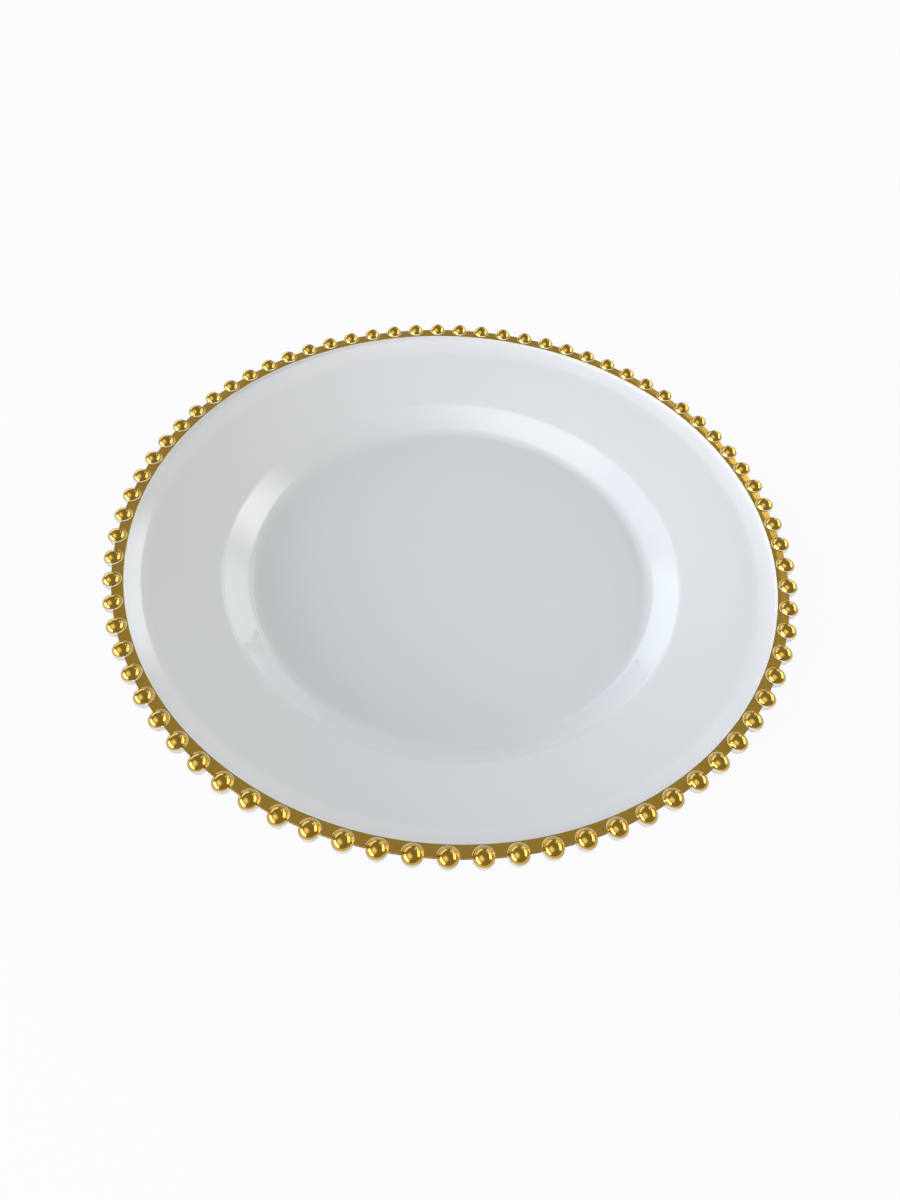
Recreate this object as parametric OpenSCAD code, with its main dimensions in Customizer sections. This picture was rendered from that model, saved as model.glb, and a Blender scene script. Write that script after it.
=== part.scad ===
// Charger plate: a clear moulded plate with a white coat behind it,
// a gold band on its flat edge and a ring of gold-topped beads round it.
// Sizes are in millimetres. The foot rests at z = 0 and the axis of the plate is +Z.

/* [Plate] */
// Diameter over the beads
overall_d = 330; // [310:1:350]
// Thickness of the clear moulding
plate_t = 2.4; // [2:0.1:2.8]

/* [Well] */
// Diameter of the floor, to the corner between floor and wall
floor_d = 202; // [180:1:208]
// Distance across the sloping wall, from the floor to the rim
wall_run = 13; // [10:0.5:18]
// Height of the well wall
well_h = 10.5; // [8:0.5:13]
// Radius of the hollow corner between floor and wall
floor_fillet_r = 9; // [6:0.5:12]
// Radius of the rounded corner between wall and rim
shoulder_r = 7; // [4:0.5:9]

/* [Rim] */
// Rise of the sloping rim from the well to the lip
rim_rise = 12.5; // [9:0.5:15]
// Width of the steeper lip inside the band
lip_w = 7.5; // [6.5:0.5:12]
// Rise of the lip
lip_rise = 4.5; // [3:0.5:5.5]
// Radius of the hollow corner between rim and lip
lip_fillet_r = 8; // [4:0.5:12]
// Radius of the rounded corner between lip and band
band_round_r = 3.5; // [3:0.5:5]

/* [Band] */
// Width of the flat band, from its inner edge to the centres of the beads
band_w = 5; // [4.6:0.1:7]

/* [Beads] */
// Number of beads
bead_count = 76; // [60:1:90]
// Diameter of a bead
bead_d = 8.6; // [7:0.1:9]
// Hairline between a bead and its seat in the edge
seat_gap = 0.05; // [0.02:0.01:0.1]

/* [Foot] */
// Height of the foot ring below the floor
foot_h = 1.4; // [1:0.1:2.5]
// Width of the foot ring
foot_w = 2; // [1.5:0.1:3]
// Distance from the corner of the floor in to the foot ring
foot_inset = 6; // [5:0.5:12]

/* [Gate mark] */
// Outer diameter of the ring left at the middle of the floor
gate_d = 13; // [10:0.5:16]
// Width of the gate ring
gate_w = 0.8; // [0.5:0.1:1.5]
// Height of the gate ring above the floor
gate_h = 0.15; // [0.1:0.05:0.3]

/* [Coats] */
// Thickness of the gold and the white coats
coat_t = 0.2; // [0.15:0.05:0.3]
// Reach of the white coat under the gold band
coat_reach = 2; // [1:0.5:3]
// Bare line between the gold of a bead and the gold of the band
bare_line = 0.25; // [0.1:0.05:0.4]

/* [Hidden] */
$fn = 72;
large_fn = 180;
arc_steps = 10;
overrun = 1;

// Radii, from the beads inwards
bead_r = bead_d / 2;
edge_r = overall_d / 2 - bead_r;
band_in_r = edge_r - band_w;
coat_r = band_in_r + coat_reach;
lip_in_r = band_in_r - lip_w;
foot_out_r = floor_d / 2 - foot_inset;
well_r = floor_d / 2 + wall_run;

// Heights of the upper face, from the foot upwards
floor_z = foot_h + plate_t;
well_z = floor_z + well_h;
lip_z = well_z + rim_rise;
band_z = lip_z + lip_rise;
bead_z = band_z - plate_t / 2;
cap_z = band_z + coat_t + bare_line;

// Radius of a bead at the level of the band
bead_waist_r = sqrt(pow(bead_r, 2) - pow(band_z - bead_z, 2));

// Corners of the upper face as [radius, height, corner radius]
face_corners = [
    [0, floor_z, 0],
    [floor_d / 2, floor_z, floor_fillet_r],
    [well_r, well_z, shoulder_r],
    [lip_in_r, lip_z, lip_fillet_r],
    [band_in_r, band_z, band_round_r],
    [edge_r, band_z, 0]
];

// Direction of the step from one point to the next
function heading(from, to) = atan2(to[1] - from[1], to[0] - from[0]);

// The arc that rounds corner i, or the corner itself at the ends
function rounded_corner(corners, i) =
    let (
        corner = corners[i],
        last = len(corners) - 1
    )
    i == 0 || i == last ? [[corner[0], corner[1]]] :
    let (
        into = heading(corners[i - 1], corner),
        out = heading(corner, corners[i + 1]),
        side = sign(out - into),
        back = corner[2] * tan(abs(out - into) / 2),
        centre = [
            corner[0] - back * cos(into) - side * corner[2] * sin(into),
            corner[1] - back * sin(into) + side * corner[2] * cos(into)
        ]
    )
    [
        for (k = [0 : arc_steps])
            let (turn = into + (out - into) * k / arc_steps)
            [
                centre[0] + side * corner[2] * sin(turn),
                centre[1] - side * corner[2] * cos(turn)
            ]
    ];

function rounded_line(corners) = [
    for (i = [0 : len(corners) - 1])
        each rounded_corner(corners, i)
];

// The line moved down by a distance, square to itself at every point
function lowered(line, distance) =
    let (last = len(line) - 1)
    [
        for (i = [0 : last])
            let (
                into = heading(line[max(i - 1, 0)], line[max(i, 1)]),
                out = heading(line[min(i, last - 1)], line[min(i + 1, last)]),
                mean = (into + out) / 2,
                reach = distance / cos((out - into) / 2)
            )
            [line[i][0] + reach * sin(mean), line[i][1] - reach * cos(mean)]
    ];

function reversed(line) = [for (i = [len(line) - 1 : -1 : 0]) line[i]];

face_line = rounded_line(face_corners);
raised_line = lowered(face_line, -coat_t);
under_line = lowered(face_line, plate_t);
coat_line = lowered(face_line, plate_t + coat_t);

module ring(outer_r, inner_r, height) {
    difference() {
        cylinder(r = outer_r, h = height, $fn = large_fn);
        translate([0, 0, -overrun])
            cylinder(r = inner_r, h = height + 2 * overrun, $fn = large_fn);
    }
}

module sheet_between(upper, lower) {
    rotate_extrude($fn = large_fn)
        polygon(concat(upper, reversed(lower)));
}

module at_each_bead() {
    for (i = [0 : bead_count - 1])
        rotate([0, 0, i * 360 / bead_count])
            translate([edge_r, 0, bead_z])
                children();
}

module foot_ring() {
    ring(foot_out_r, foot_out_r - foot_w, foot_h + plate_t / 2);
}

module gate_ring() {
    translate([0, 0, floor_z - plate_t / 2])
        ring(gate_d / 2, gate_d / 2 - gate_w, plate_t / 2 + gate_h);
}

module clear_plate() {
    color([0.93, 0.95, 0.97, 0.45])
        difference() {
            union() {
                sheet_between(face_line, under_line);
                foot_ring();
                gate_ring();
            }
            at_each_bead()
                sphere(r = bead_r + seat_gap);
        }
}

module white_backing() {
    color([0.97, 0.97, 0.98])
        difference() {
            intersection() {
                sheet_between(under_line, coat_line);
                cylinder(r = coat_r, h = band_z, $fn = large_fn);
            }
            foot_ring();
            at_each_bead()
                sphere(r = bead_r + seat_gap);
        }
}

module clear_beads() {
    color([0.93, 0.95, 0.97, 0.45])
        at_each_bead()
            sphere(r = bead_r);
}

module gold_band() {
    color([0.72, 0.56, 0.16])
        difference() {
            intersection() {
                sheet_between(raised_line, face_line);
                ring(edge_r, band_in_r, band_z + bead_d);
            }
            at_each_bead()
                cylinder(r = bead_waist_r + bare_line, h = bead_d);
        }
}

module gold_bead_caps() {
    color([0.83, 0.66, 0.22])
        at_each_bead()
            difference() {
                sphere(r = bead_r + coat_t);
                sphere(r = bead_r);
                translate([0, 0, -bead_d])
                    cylinder(r = bead_d, h = bead_d + cap_z - bead_z);
            }
}

clear_plate();
white_backing();
clear_beads();
gold_band();
gold_bead_caps();
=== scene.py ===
"""Looks of the charger plate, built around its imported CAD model. Metres, +Z up, foot at z = 0."""
import math

import bpy
from mathutils import Matrix, Vector


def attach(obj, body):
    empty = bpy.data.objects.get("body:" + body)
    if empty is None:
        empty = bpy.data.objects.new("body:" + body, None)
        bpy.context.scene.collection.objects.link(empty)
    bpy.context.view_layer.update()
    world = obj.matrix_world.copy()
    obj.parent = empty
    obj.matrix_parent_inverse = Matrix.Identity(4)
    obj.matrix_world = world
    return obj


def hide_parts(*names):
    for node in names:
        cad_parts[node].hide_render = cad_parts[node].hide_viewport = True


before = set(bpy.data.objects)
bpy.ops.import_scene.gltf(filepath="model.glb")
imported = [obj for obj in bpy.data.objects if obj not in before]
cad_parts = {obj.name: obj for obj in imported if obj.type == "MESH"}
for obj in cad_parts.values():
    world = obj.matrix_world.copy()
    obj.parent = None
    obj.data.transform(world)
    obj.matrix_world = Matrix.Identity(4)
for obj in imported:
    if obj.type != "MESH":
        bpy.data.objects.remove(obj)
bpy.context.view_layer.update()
scene = bpy.context.scene
MM = 0.001

# Sizes, in mm, as in the CAD
OVERALL_D, PLATE_T = 330, 2.4
FLOOR_D, WALL_RUN, WELL_H = 202, 13, 10.5
FLOOR_FILLET_R, SHOULDER_R = 9, 7
RIM_RISE, LIP_W, LIP_RISE, LIP_FILLET_R, BAND_ROUND_R = 12.5, 7.5, 4.5, 8, 3.5
BAND_W, BEAD_COUNT, BEAD_D, SEAT_GAP = 5, 76, 8.6, 0.05
FOOT_H, FOOT_W, FOOT_INSET = 1.4, 2, 6
GATE_D, GATE_W, GATE_H = 13, 0.8, 0.15
COAT_T, COAT_REACH, BARE_LINE = 0.2, 2, 0.25

# Sizes, in mm, that only the render has
FOOT_ROUND_R = 0.35  # rounding of the foot ring's edges
EDGE_ROUND_R = 0.05  # rounding of the clear plate's outer edge
BAND_SKIRT = 0.2  # how far the gold runs down that edge
BAND_ROLL = 0.8  # how far outside the gold's inner edge the lip turns flat

# Radii, heights and the turn from one bead to the next, which follow from the sizes
BEAD_R = BEAD_D / 2
EDGE_R = OVERALL_D / 2 - BEAD_R
BAND_IN_R = EDGE_R - BAND_W
COAT_R = BAND_IN_R + COAT_REACH
LIP_IN_R = BAND_IN_R - LIP_W
FOOT_OUT_R = FLOOR_D / 2 - FOOT_INSET
FLOOR_Z = FOOT_H + PLATE_T
WELL_Z = FLOOR_Z + WELL_H
LIP_Z = WELL_Z + RIM_RISE
BAND_Z = LIP_Z + LIP_RISE
BEAD_Z = BAND_Z - PLATE_T / 2
CAP_Z = BAND_Z + COAT_T + BARE_LINE
BEAD_WAIST_R = math.sqrt(BEAD_R**2 - (BAND_Z - BEAD_Z) ** 2)
PITCH = 2 * math.pi / BEAD_COUNT

FACE_CORNERS = [
    (0, FLOOR_Z, 0),
    (FLOOR_D / 2, FLOOR_Z, FLOOR_FILLET_R),
    (FLOOR_D / 2 + WALL_RUN, WELL_Z, SHOULDER_R),
    (LIP_IN_R + BAND_ROLL / 2, LIP_Z, LIP_FILLET_R),
    (BAND_IN_R + BAND_ROLL, BAND_Z, BAND_ROUND_R),
    (EDGE_R, BAND_Z, EDGE_ROUND_R),
    (EDGE_R, BAND_Z - PLATE_T, 0),
]
ARC_STEP = math.radians(3.2)  # turn from one row of an arc to the next
SUPPORT = 0.35  # mm of straight line kept between an arc and a long straight stretch
WELL_INNER_R, WELL_OUTER_R = 92, 112  # radii between which the painted shade in the floor of the well gives way to a whiter coat, where the wall begins
LIP_INNER_R, LIP_OUTER_R = LIP_IN_R - 2, LIP_IN_R + 1  # and those between which a painted highlight makes it whiter still, up to its full white at the lip
EMBED = 0.03  # mm that a coat reaches into the clear plastic, so that no two faces lie in one place


# Profiles
def heading(a, b):
    return math.atan2(b[1] - a[1], b[0] - a[0])


def rounded_line(corners):
    """The outline through the corners, each rounded by its radius, with a row close to each end of an arc."""
    line = [corners[0][:2]]
    for a, c, b in zip(corners, corners[1:], corners[2:]):
        into, out = heading(a, c), heading(c, b)
        side = 1 if out > into else -1
        back = c[2] * math.tan(abs(out - into) / 2)
        start = (c[0] - back * math.cos(into), c[1] - back * math.sin(into))
        centre = (start[0] - side * c[2] * math.sin(into), start[1] + side * c[2] * math.cos(into))
        steps = max(3, math.ceil(abs(out - into) / ARC_STEP))
        line.append((start[0] - SUPPORT * math.cos(into), start[1] - SUPPORT * math.sin(into)))
        for k in range(steps + 1):
            turn = into + (out - into) * k / steps
            line.append((centre[0] + side * c[2] * math.sin(turn), centre[1] - side * c[2] * math.cos(turn)))
        line.append((line[-1][0] + SUPPORT * math.cos(out), line[-1][1] + SUPPORT * math.sin(out)))
    line.append(corners[-1][:2])
    return line


def lowered(line, distance):
    """The line moved down by a distance, square to itself at every point."""
    last = len(line) - 1
    moved = []
    for i, (r, z) in enumerate(line):
        into = heading(line[max(i - 1, 0)], line[max(i, 1)])
        out = heading(line[min(i, last - 1)], line[min(i + 1, last)])
        mean, reach = (into + out) / 2, distance / math.cos((out - into) / 2)
        moved.append((r + reach * math.sin(mean), z - reach * math.cos(mean)))
    return moved


def between(line, low, high):
    """The stretch of a line that runs from one radius to another, with a point at each."""
    cut = []
    for a, b in zip(line, line[1:]):
        if b[0] <= low or a[0] >= high:
            continue
        for r in (low, high):
            if a[0] < r < b[0]:
                t = (r - a[0]) / (b[0] - a[0])
                p = (r, a[1] + t * (b[1] - a[1]))
                if r == low:
                    a = p
                else:
                    b = p
        if not cut:
            cut.append(a)
        cut.append(b)
    return cut


FACE = rounded_line(FACE_CORNERS)
# How deep every face lies under the plate's upper one. The gold's own upper face lies above it
DEPTHS = (-COAT_T, 0, EMBED, PLATE_T - EMBED, PLATE_T, PLATE_T + COAT_T)
LINES = [lowered(FACE, depth) for depth in DEPTHS]


def height(line, r):
    """Height of a line at a radius, taken as level from the middle of the band outwards."""
    r = min(r, BAND_IN_R + BAND_W / 2)
    for a, b in zip(line, line[1:]):
        if a[0] <= r <= b[0] and b[0] > a[0]:
            return a[1] + (b[1] - a[1]) * (r - a[0]) / (b[0] - a[0])
    return line[0][1]


def face_z(r):
    return height(FACE, r)


LINE_OF = {}  # the line that a point of an outline lies on


def drawn_in(r, z, share):
    """A point past the band's inner edge, drawn in to a share of its way out.

    It stays on the curve of its own face."""
    if (r, z) not in LINE_OF:
        LINE_OF[r, z] = min(LINES, key=lambda line: abs(height(line, r) - z))
    line = LINE_OF[r, z]
    to = BAND_IN_R + (r - BAND_IN_R) * share
    return to, z + height(line, to) - height(line, r)


# Meshes
def new_piece(name, verts, faces, material, slot, sharp_deg=32):
    """A mesh object from points in mm, smooth but for edges that turn by more than the given angle."""
    mesh = bpy.data.meshes.new(name)
    mesh.from_pydata([(x * MM, y * MM, z * MM) for x, y, z in verts], [], faces)
    mesh.validate()
    mesh.polygons.foreach_set("use_smooth", [True] * len(mesh.polygons))
    mesh.set_sharp_from_angle(angle=math.radians(sharp_deg))
    mesh.materials.append(material)
    mesh.update()
    piece = bpy.data.objects.new(name, mesh)
    scene.collection.objects.link(piece)
    return piece


def revolve(loop, angles, moved=None):
    """Points and faces of a closed outline turned about Z. A radius of 0 becomes one point.

    moved(r, z, angle) may move a point of the outline along the way, which cuts it back round the beads."""
    verts, rows = [], []
    n = len(angles)
    for r, z in loop:
        if r < 1e-6:
            rows.append([len(verts)] * n)
            verts.append((0.0, 0.0, z))
            continue
        rows.append(list(range(len(verts), len(verts) + n)))
        for a in angles:
            rr, zz = moved(r, z, a) if moved else (r, z)
            verts.append((rr * math.cos(a), rr * math.sin(a), zz))
    faces = []
    for row, after in zip(rows, rows[1:] + rows[:1]):
        for i in range(n):
            j = (i + 1) % n
            quad = [row[j], row[i], after[i], after[j]]
            quad = [v for k, v in enumerate(quad) if v not in quad[:k]]
            if len(quad) > 2:
                faces.append(quad)
    return verts, faces


def even_angles(n):
    return [2 * math.pi * i / n for i in range(n)]


def edge_angles(cut_r, arc_steps, tab_steps):
    """Angles round the edge, close together where a bead's cut of that radius is."""
    half = math.asin(cut_r / EDGE_R)
    angles = []
    for b in range(BEAD_COUNT):
        for k in range(arc_steps + 1):
            sweep = math.pi * (k / arc_steps - 0.5)
            angles.append(b * PITCH + math.asin(cut_r / EDGE_R * math.sin(sweep)))
        for k in range(1, tab_steps):
            angles.append(b * PITCH + half + (PITCH - 2 * half) * k / tab_steps)
    return angles


def cut_share(angle, cut_r):
    """The share of the band's width that is left at an angle, where a round cut is made at each bead."""
    off = (angle + PITCH / 2) % PITCH - PITCH / 2
    inside = cut_r**2 - (EDGE_R * math.sin(off)) ** 2
    if inside <= 1e-9:
        return 1
    return min(1, (EDGE_R * math.cos(off) - math.sqrt(inside) - BAND_IN_R) / BAND_W)


def repeated(verts, faces):
    """The same small mesh at every bead."""
    all_verts, all_faces = [], []
    for b in range(BEAD_COUNT):
        c, s = math.cos(b * PITCH), math.sin(b * PITCH)
        base = len(all_verts)
        for x, y, z in verts:
            x += EDGE_R
            all_verts.append((x * c - y * s, x * s + y * c, z + BEAD_Z))
        all_faces += [[base + v for v in f] for f in faces]
    return all_verts, all_faces


# Node helpers
class Graph:
    """A short way to write a node tree: the one that is given, or a new material's."""

    def __init__(self, name="", tree=None):
        self.tree = tree
        if tree is None:
            self.material = bpy.data.materials.new(name)
            self.material.use_nodes = True
            self.tree = self.material.node_tree
            self.tree.nodes.clear()

    def add(self, kind, inputs=None, **settings):
        node = self.tree.nodes.new("ShaderNode" + kind)
        for key, value in settings.items():
            setattr(node, key, value)
        for key, value in (inputs or {}).items():
            if isinstance(value, bpy.types.NodeSocket):
                self.tree.links.new(value, node.inputs[key])
            else:
                node.inputs[key].default_value = value
        return node

    def link(self, source, target):
        self.tree.links.new(source, target)

    def coords(self):
        return self.add("TexCoord").outputs["Object"]

    def off_axis(self, vector):
        """Distance from the plate's axis, in metres."""
        parts = self.add("SeparateXYZ", {0: vector}).outputs
        squares = (self.math("POWER", parts[axis], 2.0) for axis in (0, 1))
        return self.math("SQRT", self.math("ADD", *squares))

    def noise(self, vector, scale, detail=2.0, roughness=0.5):
        inputs = {"Vector": vector, "Scale": scale, "Detail": detail, "Roughness": roughness}
        return self.add("TexNoise", inputs).outputs["Fac"]

    def ramped(self, value, low, high, from_low=0.3, from_high=0.7):
        """A value mapped to a range, from the middle of a noise's own range where no other is given."""
        inputs = {"Value": value, "From Min": from_low, "From Max": from_high, "To Min": low, "To Max": high}
        return self.add("MapRange", inputs).outputs["Result"]

    def mixed(self, factor, a, b):
        a, b = ((*c, 1) if isinstance(c, tuple) else c for c in (a, b))
        return self.add("Mix", {0: factor, 6: a, 7: b}, data_type="RGBA").outputs[2]

    def bump(self, height, strength, distance):
        inputs = {"Height": height, "Strength": strength, "Distance": distance}
        return self.add("Bump", inputs).outputs["Normal"]

    def math(self, operation, a, b=0.0):
        return self.add("Math", {0: a, 1: b}, operation=operation).outputs[0]

    def blended(self, factor, first, second):
        """The output of one shader node that gives way to another as the factor rises to 1."""
        mix = self.add("MixShader", {0: factor})
        self.link(first.outputs[0], mix.inputs[1])
        self.link(second.outputs[0], mix.inputs[2])
        return mix.outputs[0]

    def output(self, shader):
        self.add("OutputMaterial", {"Surface": shader})
        return self.material


# Materials
def clear_plastic():
    """Polished clear plastic. Light for the white coat behind it passes straight through."""
    g = Graph("clear_plastic")
    at = g.coords()
    waves = g.noise(at, 26.0, 1.0)
    shader = g.add("BsdfPrincipled", {
        "Base Color": g.mixed(waves, (0.955, 0.972, 0.985), (0.975, 0.986, 0.994)),
        "Roughness": g.ramped(g.noise(at, 90.0, 3.0), 0.015, 0.045),
        "IOR": 1.49,
        "Transmission Weight": 1.0,
        "Normal": g.bump(waves, 0.25, 0.0006),
    })
    path = g.add("LightPath")
    passing = g.math("MAXIMUM", path.outputs["Is Shadow Ray"], path.outputs["Is Diffuse Ray"])
    through = g.add("BsdfTransparent", {"Color": (0.97, 0.985, 0.99, 1)})
    return g.output(g.blended(passing, shader, through))


def white_coat():
    """Sprayed white, a little uneven, with painted shade that makes it greyer in the floor of the well and a
    painted highlight that makes it whitest at the lip.
    """
    g = Graph("white_coat")
    at = g.coords()
    cloud = g.noise(at, 14.0, 3.0)
    off_axis = g.off_axis(at)
    # Painted shade greys the floor of the well, and a painted highlight whitens the rim and most of all the
    # lip
    well_shade_ramp = g.ramped(off_axis, 0.0, 1.0, WELL_INNER_R * MM, WELL_OUTER_R * MM)
    lip = g.ramped(off_axis, 0.0, 1.0, LIP_INNER_R * MM, LIP_OUTER_R * MM)
    even = g.math("ADD", g.math("MULTIPLY", well_shade_ramp, 0.6), g.math("MULTIPLY", lip, 0.3))
    whiteness_with_painted_light = g.math("ADD", even, g.math("MULTIPLY", cloud, 0.1))
    shader = g.add("BsdfPrincipled", {
        "Base Color": g.mixed(whiteness_with_painted_light, (0.765, 0.790, 0.805), (0.880, 0.877, 0.882)),
        "Roughness": g.ramped(g.noise(at, 320.0, 4.0), 0.10, 0.16),
        "IOR": 1.5,
        "Normal": g.bump(g.noise(at, 700.0, 2.0), 0.008, 0.0002),
    })
    return g.output(shader.outputs["BSDF"])


GOLD_TONES = (0.87, 0.515, 0.040), (0.93, 0.575, 0.058)
BAND_DEPTH, CAP_PAINTED_SHADE = 0.95, 0.70  # the gold of the beads is drawn darker than the band's, as painted shade for the dark surroundings they mirror


def gold_coat(name, rough_low, rough_high, ripple, depth):
    """Bright metallised gold, a little cloudy, with fine ripples. A lower depth is a darker gold, which on
    the beads is painted shade.
    """
    g = Graph(name)
    at = g.coords()
    tone = g.noise(at, 60.0, 4.0)
    fine = g.noise(at, 900.0, 3.0)
    shader = g.add("BsdfPrincipled", {
        "Base Color": g.mixed(tone, *(tuple(c * depth for c in gold) for gold in GOLD_TONES)),
        "Metallic": 1.0,
        "Roughness": g.ramped(fine, rough_low, rough_high),
        "Normal": g.bump(g.noise(at, 420.0, 2.0), ripple, 0.0002),
        "Coat Weight": 1.0,
        "Coat Roughness": 0.08,
        "Coat IOR": 1.5,
    })
    return g.output(shader.outputs["BSDF"])


def cream_highlight_gold():
    """Pale cream gold, a painted highlight for the bright line along the edge where the band runs up to a
    bead.
    """
    g = Graph("gold_collar_painted_highlight")
    at = g.coords()
    shader = g.add("BsdfPrincipled", {
        "Base Color": g.mixed(g.noise(at, 200.0, 3.0), (0.96, 0.79, 0.50), (0.98, 0.85, 0.59)),
        "Metallic": 0.1,
        "Roughness": g.ramped(g.noise(at, 500.0, 2.0), 0.22, 0.32),
        "Normal": g.bump(g.noise(at, 900.0, 2.0), 0.05, 0.0001),
    })
    return g.output(shader.outputs["BSDF"])


CLEAR = clear_plastic()
WHITE = white_coat()
GOLD_BAND = gold_coat("gold_band_coat", 0.14, 0.24, 0.05, BAND_DEPTH)
GOLD_COLLARS = cream_highlight_gold()
# The caps' darker gold is painted shade.
GOLD_CAPS = gold_coat("gold_cap_coat", 0.10, 0.17, 0.04, CAP_PAINTED_SHADE)


# Pieces
def plate_outline():
    """Upper face with the gate ring, outer edge and under face of the clear plate, as one loop."""
    gate_out, gate_in = GATE_D / 2, GATE_D / 2 - GATE_W
    gate = [
        (gate_in - GATE_H, FLOOR_Z), (gate_in, FLOOR_Z + GATE_H),
        (gate_out, FLOOR_Z + GATE_H), (gate_out + GATE_H, FLOOR_Z),
    ]
    under = [p for p in lowered(FACE, PLATE_T) if p[0] < EDGE_R - PLATE_T]
    return FACE[:1] + gate + FACE[1:] + [(EDGE_R - PLATE_T, BAND_Z - PLATE_T)] + under[::-1]


SEAT_STEPS = 6
SEAT_R = BEAD_R + SEAT_GAP
FACETED_SEAT_R = SEAT_R / math.cos(math.pi / 2 / SEAT_STEPS)  # keeps the seat's facets outside the bead


def seated(r, z, angle, reach=BAND_W):
    """An edge that reaches a distance past the band's inner edge, with a round seat for each bead."""
    if r <= BAND_IN_R:
        return r, z
    level = min(max(z, BAND_Z - PLATE_T), BAND_Z) - BEAD_Z
    left = BAND_W * cut_share(angle, math.sqrt(FACETED_SEAT_R**2 - level**2))
    return drawn_in(r, z, min(1, left / reach))


def seated_coat(r, z, angle):
    return seated(r, z, angle, COAT_REACH)


seat_angles = edge_angles(SEAT_R, arc_steps=SEAT_STEPS, tab_steps=2)
clear_plate = new_piece(
    "clear_plate_body", *revolve(plate_outline(), seat_angles, seated), CLEAR, "clear_plastic"
)
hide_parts("clear_plate")
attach(clear_plate, "root")


STAND_W, STAND_GAP = 0.3, 0.08  # where the coat stands up behind the gold's inner edge, almost to the face


def coat_outline():
    """The white coat: under the clear plate, and round the foot ring."""
    foot_in, q = FOOT_OUT_R - FOOT_W, FOOT_ROUND_R
    foot = [
        (FOOT_OUT_R + q, FOOT_H - COAT_T), (FOOT_OUT_R, FOOT_H - COAT_T - q),
        (FOOT_OUT_R, q), (FOOT_OUT_R - q * 0.3, q * 0.3), (FOOT_OUT_R - q, 0),
        (foot_in + q, 0), (foot_in + q * 0.3, q * 0.3), (foot_in, q),
        (foot_in, FOOT_H - COAT_T - q), (foot_in - q, FOOT_H - COAT_T),
    ]
    upper = lowered(FACE, PLATE_T - EMBED)
    stand = [(r, face_z(r) - STAND_GAP) for r in (BAND_IN_R, BAND_IN_R + STAND_W)]
    top = between(upper, 0, BAND_IN_R) + stand + between(upper, BAND_IN_R + STAND_W, COAT_R)
    under = between(lowered(FACE, PLATE_T + COAT_T), FOOT_OUT_R + q, COAT_R)
    return top + under[::-1] + foot[1:] + [(0, FOOT_H - COAT_T)]


white_backing = new_piece(
    "white_backing_coat", *revolve(coat_outline(), seat_angles, seated_coat), WHITE, "white_coat"
)
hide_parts("white_backing")
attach(white_backing, "root")

BAND_CUT_R = BEAD_WAIST_R + BARE_LINE
COLLAR_R, COLLAR_ROLL_R = BAND_CUT_R - 0.05, 0.22  # of the collar's middle line, and of the roll itself
COLLAR_LIFT = 0.10  # mm that the middle line lies above the plate's face
COLLAR_REACH, COLLAR_STEPS, COLLAR_SIDES = 84, 20, 8  # degrees to each side, steps, and faces round the roll
COLLAR_TIP, COLLAR_TAPER = 0.35, 4  # share of the roll at its ends, and how fast it grows from there
BAND_UNDERCUT = 0.4  # share of the gold's thickness that is left at the lower end of its outer side
SKIRT_LEFT = 0.12  # share of the gold's drop below the band that is left at the cuts


def band_outline():
    """The gold from the inner edge of the band out and over the plate's outer edge."""
    low = BAND_Z - BAND_SKIRT
    outer = [p for p in lowered(FACE, -COAT_T) if BAND_IN_R < p[0] < EDGE_R - EDGE_ROUND_R]
    inner = [p for p in lowered(FACE, EMBED) if p[0] > BAND_IN_R and p[1] > low]
    start = [between(lowered(FACE, d), BAND_IN_R, EDGE_R)[0] for d in (-COAT_T, EMBED)]
    side = [(EDGE_R + COAT_T, BAND_Z + COAT_T), (EDGE_R + COAT_T * BAND_UNDERCUT, low), (EDGE_R - EMBED, low)]
    return start[:1] + outer + side + inner[::-1] + start[1:]


def band_cut(r, z, angle):
    """The gold's outline at an angle, cut back round the beads, where it also hardly drops below the band."""
    share = cut_share(angle, BAND_CUT_R)
    flat = BAND_Z - EMBED
    if share < 1 and r > BAND_IN_R + BAND_W / 2 and z < flat:
        z = flat + (z - flat) * SKIRT_LEFT
    return drawn_in(r, z, share)


def collar():
    """A thin roll of gold round the side of a bead that faces the plate, where it stands in the band."""
    turns = [math.radians(COLLAR_REACH * (2 * k / COLLAR_STEPS - 1)) for k in range(COLLAR_STEPS + 1)]
    verts, faces = [], []
    for t in turns:
        roll_r = COLLAR_ROLL_R * min(1, COLLAR_TIP + COLLAR_TAPER * (1 - abs(t) / turns[-1]))
        for k in range(COLLAR_SIDES):
            side = 2 * math.pi * k / COLLAR_SIDES
            ring = COLLAR_R + roll_r * math.cos(side)
            x = -ring * math.cos(t)
            z = face_z(EDGE_R + x) - BEAD_Z + COLLAR_LIFT + roll_r * math.sin(side)
            verts.append((x, ring * math.sin(t), z))
    for i in range(COLLAR_STEPS):
        row, after = i * COLLAR_SIDES, (i + 1) * COLLAR_SIDES
        for k in range(COLLAR_SIDES):
            j = (k + 1) % COLLAR_SIDES
            faces.append([row + k, row + j, after + j, after + k])
    last = COLLAR_STEPS * COLLAR_SIDES
    ends = [list(range(COLLAR_SIDES))[::-1], [last + k for k in range(COLLAR_SIDES)]]
    return verts, faces + ends


band_angles = edge_angles(BAND_CUT_R, arc_steps=12, tab_steps=4)
band = revolve(band_outline(), band_angles, band_cut)
gold_band = new_piece("gold_band_coat", *band, GOLD_BAND, "gold_coat", sharp_deg=50)
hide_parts("gold_band")
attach(gold_band, "root")
# The collars' pale cream is a painted highlight.
collars = new_piece("gold_band_collars", *repeated(*collar()), GOLD_COLLARS, "gold_coat", sharp_deg=50)
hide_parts("gold_band")
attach(collars, "root")


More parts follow.
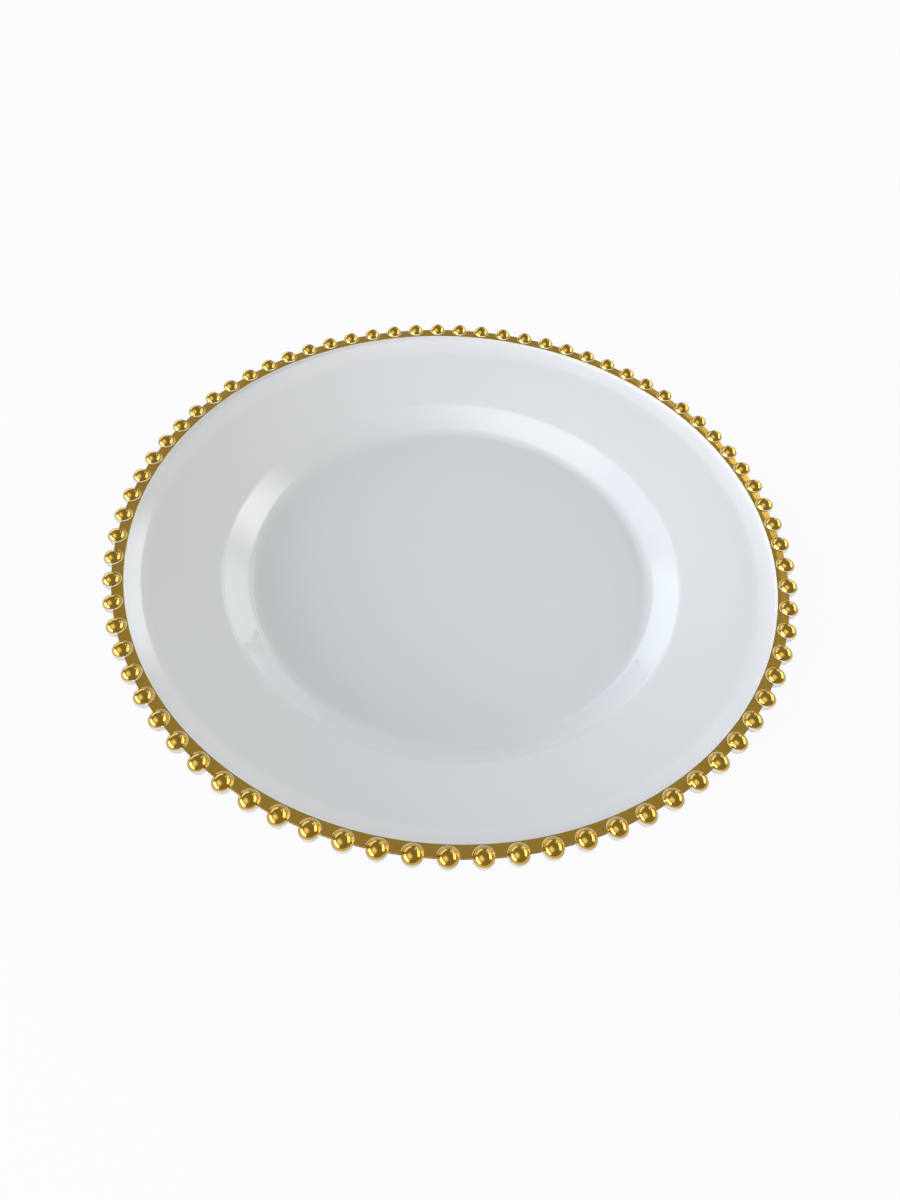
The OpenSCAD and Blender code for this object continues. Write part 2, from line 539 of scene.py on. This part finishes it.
def dome(radius, from_deg, rings):
    """Outline of a ball as radius and height, from an angle above its waist up to its top."""
    line = []
    for k in range(rings):
        turn = math.radians(from_deg + (90 - from_deg) * k / rings)
        line.append((radius * math.cos(turn), radius * math.sin(turn)))
    return line + [(0, radius)]


def level_angle(radius):
    """Angle above a ball's waist at which it reaches the lower edge of the gold, in degrees."""
    return math.degrees(math.asin((CAP_Z - BEAD_Z) / radius))


around_bead = even_angles(28)
ball = [(0, -BEAD_R)] + dome(BEAD_R, -90, 15)[1:]
clear_beads = new_piece(
    "clear_bead_balls", *repeated(*revolve(ball, around_bead)), CLEAR, "clear_plastic", sharp_deg=60
)
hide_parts("clear_beads")
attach(clear_beads, "root")

outer_r, inner_r = BEAD_R + COAT_T, BEAD_R - EMBED
cap = dome(outer_r, level_angle(outer_r), 9) + dome(inner_r, level_angle(inner_r), 5)[::-1]
gold_caps = new_piece(
    "gold_bead_tops", *repeated(*revolve(cap, around_bead)), GOLD_CAPS, "gold_coat", sharp_deg=40
)
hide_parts("gold_bead_caps")
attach(gold_caps, "root")


# Floor
FLOOR_HALF = 6.0  # metres
SHADE_INNER_R, SHADE_OUTER_R = 0.185, 0.320  # radii in metres between which the shade round the plate ends
SHADE_IN_METAL, SHADE_IN_GLASS = 0.12, 0.85  # share of the white that metal and glass see in that shade
WHITE_SHARE = 0.90  # the rest of what is seen is the lit floor, which holds the shadow


def floor_material():
    """Pale floor. What the camera, metal and glass see of it is near white, and it keeps the shadow.

    Metal sees the shade under the plate much darker than the camera does, and glass a little darker."""
    g = Graph("floor")
    at = g.coords()
    shade = g.noise(at, 3.0, 2.0)
    open_floor = g.ramped(g.off_axis(at), SHADE_IN_METAL, 1.0, SHADE_INNER_R, SHADE_OUTER_R)
    path = g.add("LightPath")
    diffuse = g.add("BsdfDiffuse", {"Color": g.mixed(shade, (0.83, 0.83, 0.83), (0.85, 0.85, 0.85))})
    mirrored = g.math("MAXIMUM", path.outputs["Is Glossy Ray"], path.outputs["Is Transmission Ray"])
    only_glass = g.math("SUBTRACT", 1.0, g.math("MINIMUM", path.outputs["Glossy Depth"], 1.0))
    share = g.math("MAXIMUM", open_floor, g.math("MULTIPLY", only_glass, SHADE_IN_GLASS))
    seen = g.math("MAXIMUM", path.outputs["Is Camera Ray"], g.math("MULTIPLY", mirrored, share))
    white = g.add("Emission", {"Strength": 1.0})
    return g.output(g.blended(g.math("MULTIPLY", seen, WHITE_SHARE), diffuse, white))


floor_mesh = bpy.data.meshes.new("floor")
floor_corners = [(x * FLOOR_HALF, y * FLOOR_HALF, 0) for x, y in ((-1, -1), (1, -1), (1, 1), (-1, 1))]
floor_mesh.from_pydata(floor_corners, [], [(0, 1, 2, 3)])
floor_mesh.materials.append(floor_material())
floor = bpy.data.objects.new("floor", floor_mesh)
scene.collection.objects.link(floor)


# Light
MIDDLE = Vector((0, 0, BAND_Z * MM))  # of the band's plane


def around(azimuth, elevation, distance):
    """A point at a distance from the middle of the band's plane. Azimuth is from +X towards +Y."""
    a, e = math.radians(azimuth), math.radians(elevation)
    toward = Vector((math.cos(a) * math.cos(e), math.sin(a) * math.cos(e), math.sin(e)))
    return MIDDLE + toward * distance


def soften(light, fade):
    """Lets a lamp's face grow dim towards its edges, over a share of its half width and half height."""
    light.use_nodes = True
    g = Graph(tree=light.node_tree)
    emission = next(n for n in g.tree.nodes if n.type == "EMISSION")
    place = g.add("SeparateXYZ", {0: g.add("NewGeometry").outputs["Parametric"]}).outputs
    shares = []
    for axis in (0, 1):
        off = g.math("ABSOLUTE", g.math("SUBTRACT", place[axis], 0.5))
        inputs = {"Value": off, "From Min": 0.5, "From Max": 0.5 - 0.5 * fade, "To Min": 0.0, "To Max": 1.0}
        shares.append(g.add("MapRange", inputs, interpolation_type="SMOOTHSTEP").outputs["Result"])
    g.link(g.math("MULTIPLY", *shares), emission.inputs["Strength"])


def window(name, place, width, height, level, colour, facing=None, fade=0.5, roll=0):
    """A soft lamp that faces the plate, or a given way, rolled by some degrees.

    Level is how bright the middle of its face looks."""
    light = bpy.data.lights.new(name, "AREA")
    light.shape = "RECTANGLE"
    light.size, light.size_y = width, height
    light.energy = level * math.pi * width * height
    light.color = colour
    soften(light, fade)
    lamp = bpy.data.objects.new(name, light)
    back = (-Vector(facing) if facing else Vector(place) - MIDDLE).normalized()
    side = Vector((0, 0, 1)).cross(back).normalized()
    turned = Matrix((side, back.cross(side), back)).transposed().to_4x4()
    rolled = Matrix.Rotation(math.radians(roll), 4, "Z")
    lamp.matrix_world = Matrix.Translation(place) @ turned @ rolled
    scene.collection.objects.link(lamp)


window("window_left", around(203, 15, 2.0), 2.9, 0.8, 8.8, (0.93, 0.94, 1.0))
window("window_right", around(2, 26, 2.0), 2.6, 1.2, 3.1, (1.0, 0.98, 0.97))
window("window_back", around(120, 16, 2.2), 3.2, 1.1, 1.7, (0.78, 0.85, 1.0))
window("window_wall", (1.95, 2.35, 0.75), 2.4, 1.3, 1.5, (0.94, 0.97, 1.0), facing=(-1, 0, 0))
window("window_lip", around(54.7, 33.6, 7.9), 4.0, 0.7, 3.3, (0.90, 0.95, 1.0), fade=0.6, roll=-45)
window("soft_above", around(212, 56, 3.0), 4.4, 3.6, 1.15, (0.97, 0.98, 1.0), fade=0.8)

# Sky, dim as a light, and pale where the camera or glass sees it past the floor's end
SKY_LIGHT, SKY_IN_VIEW = (0.295, 0.295, 0.283), (0.93, 0.93, 0.93)
world = bpy.data.worlds.new("studio")
scene.world = world
world.use_nodes = True
sky = Graph(tree=world.node_tree)
background = sky.tree.nodes["Background"]
path = sky.add("LightPath").outputs
in_view = sky.math("MAXIMUM", path["Is Camera Ray"], path["Is Transmission Ray"])
sky.link(sky.mixed(in_view, SKY_LIGHT, SKY_IN_VIEW), background.inputs["Color"])
background.inputs["Strength"].default_value = 1.0

# Camera, fitted to the photograph
CAMERA_PLACE = -0.05296, -0.25299, 0.32411
CAMERA_FORWARD, CAMERA_RIGHT = (0.12169, 0.58055, -0.80508), (0.98848, -0.14451, 0.04521)
camera_data = bpy.data.cameras.new("camera")
camera_data.lens = 23.876
camera_data.sensor_width = 36
camera_data.clip_start = 0.01
camera = bpy.data.objects.new("camera", camera_data)
forward = Vector(CAMERA_FORWARD).normalized()
right = Vector(CAMERA_RIGHT)
right = (right - forward * right.dot(forward)).normalized()
axes = Matrix((right, right.cross(forward), -forward)).transposed().to_4x4()
camera.matrix_world = Matrix.Translation(CAMERA_PLACE) @ axes
scene.collection.objects.link(camera)
scene.camera = camera

scene.view_settings.view_transform = "Standard"
